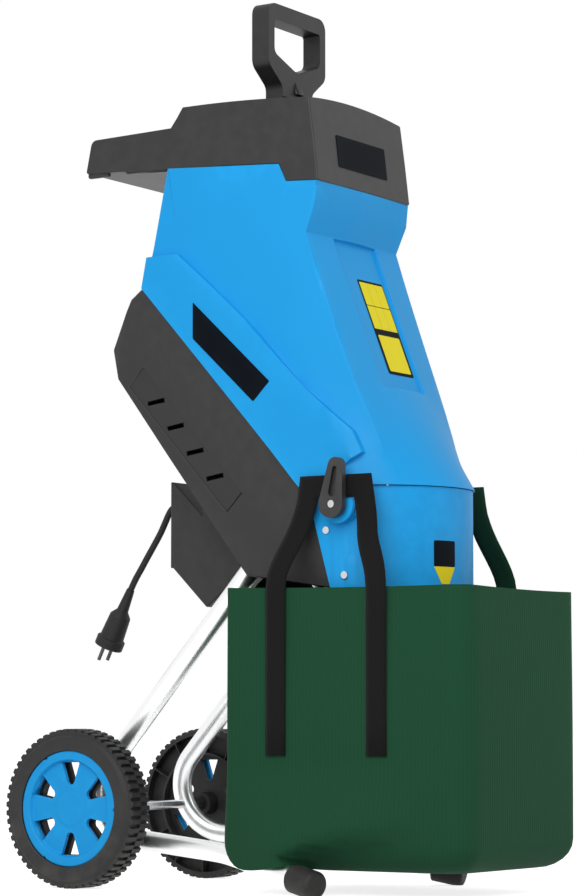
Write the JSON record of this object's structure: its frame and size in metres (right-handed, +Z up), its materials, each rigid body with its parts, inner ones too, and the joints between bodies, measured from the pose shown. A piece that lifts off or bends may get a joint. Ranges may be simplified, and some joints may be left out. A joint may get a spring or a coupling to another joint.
{
  "type": "garden shredder",
  "caption": "Upright electric garden shredder: tilting feed hopper with pusher over a belt-driven knife disc, chute, hanging catch bag, tube frame on wheels and feet",
  "frame": {"origin": "centre of the bounding box on the floor, without the mains lead", "axes": "+Z up, -Y towards the bag, +X to the right seen from the user's end facing the bag; X across the wheels"},
  "size_m": [0.3856, 0.662, 1.124],
  "materials": {
    "blue_plastic": "satin moulded",
    "black_plastic": "fine grained moulded",
    "tyre_black": "moulded with lugs",
    "black_rubber": "matt",
    "tube_metal": "satin silver",
    "steel": "bright",
    "copper": "bare",
    "green_fabric": "ribbed weave",
    "black_webbing": "woven webbing",
    "green_button": "moulded",
    "red_button": "moulded"
  },
  "bodies": {
    "base": {"left_frame_tube": "tube_metal", "right_frame_tube": "tube_metal", "left_foot_cap": "black_rubber", "right_foot_cap": "black_rubber", "axle": "steel", "axle_spacers": "black_plastic", "axle_clips": "steel", "frame_screws": "steel", "motor_housing": "black_plastic", "base_plate": "tube_metal", "base_plate_screws": "steel", "hinge_pin": "steel", "chute": "blue_plastic", "chute_screws": "steel", "strap_peg": "black_plastic", "spindle_bearings": "steel", "motor_can": "steel", "stator": "steel", "motor_top_bell": "black_plastic", "motor_bottom_bell": "black_plastic", "drive_belt": "black_rubber", "switch_box": "black_plastic", "switch_plate": "black_plastic", "cord_gland": "black_rubber", "power_cord": "black_rubber", "plug_body": "black_rubber", "plug_pins": "steel", "catch_bag": "green_fabric", "left_strap": "black_webbing", "right_strap": "green_fabric"},
    "hopper": {"hopper_shell": "blue_plastic", "hopper_cover": "black_plastic", "feed_baffle": "blue_plastic", "throat_plate": "blue_plastic", "counter_blade": "steel", "counter_blade_screws": "steel"},
    "pusher": {"plunger": "black_plastic"},
    "lock": {"lock_lever": "black_plastic", "lock_screw": "steel"},
    "cutter": {"spindle": "steel", "spindle_pulley": "black_plastic", "knife_disc": "steel", "knives": "steel", "knife_bolts": "steel", "disc_nut": "steel"},
    "rotor": {"rotor_shaft": "steel", "armature": "steel", "commutator": "copper", "cooling_fan": "black_plastic", "motor_pulley": "black_plastic"},
    "left_wheel_body": {"left_wheel": "tyre_black", "left_wheel_trim": "blue_plastic"},
    "right_wheel_body": {"right_wheel": "tyre_black", "right_wheel_trim": "blue_plastic"},
    "on_switch": {"on_button": "green_button"},
    "off_switch": {"off_button": "red_button"},
    "reset_switch": {"reset_button": "black_plastic"}
  },
  "joints": [
    {"name": "left_wheel_spin", "type": "hinge", "parent": "base", "child": "left_wheel_body", "pos_m": [-0.1495, 0.231, 0.1], "axis": [1, 0, 0], "continuous": true},
    {"name": "right_wheel_spin", "type": "hinge", "parent": "base", "child": "right_wheel_body", "pos_m": [0.1495, 0.231, 0.1], "axis": [1, 0, 0], "continuous": true},
    {"name": "knife_spin", "type": "hinge", "parent": "base", "child": "cutter", "pos_m": [0, -0.04362, 0.5392], "axis": [0, -0.7385, 0.6743], "continuous": true},
    {"name": "rotor_spin", "type": "hinge", "parent": "base", "child": "rotor", "pos_m": [0, 0.08383, 0.67877], "axis": [0, -0.7385, 0.6743], "continuous": true},
    {"name": "hopper_hinge", "type": "hinge", "parent": "base", "child": "hopper", "pos_m": [0, 0.16917, 0.76334], "axis": [-1, 0, 0], "range_deg": [0, 80]},
    {"name": "plunger_slide", "type": "slide", "parent": "hopper", "child": "pusher", "axis": [0, 0, 1], "range_m": [0, 0.2]},
    {"name": "lock_lever_turn", "type": "hinge", "parent": "base", "child": "lock", "pos_m": [-0.14, -0.144, 0.471], "axis": [1, 0, 0], "range_deg": [0, 90]},
    {"name": "on_button_press", "type": "slide", "parent": "base", "child": "on_switch", "axis": [0, -1, 0], "range_m": [0, 0.003], "stiffness_N_per_m": 400},
    {"name": "off_button_press", "type": "slide", "parent": "base", "child": "off_switch", "axis": [0, -1, 0], "range_m": [0, 0.003], "stiffness_N_per_m": 400},
    {"name": "reset_button_press", "type": "slide", "parent": "base", "child": "reset_switch", "axis": [0, -1, 0], "range_m": [0, 0.003], "stiffness_N_per_m": 400}
  ],
  "couplings": [
    {"joint": "rotor_spin", "follows": "knife_spin", "ratio": 4}
  ]
}
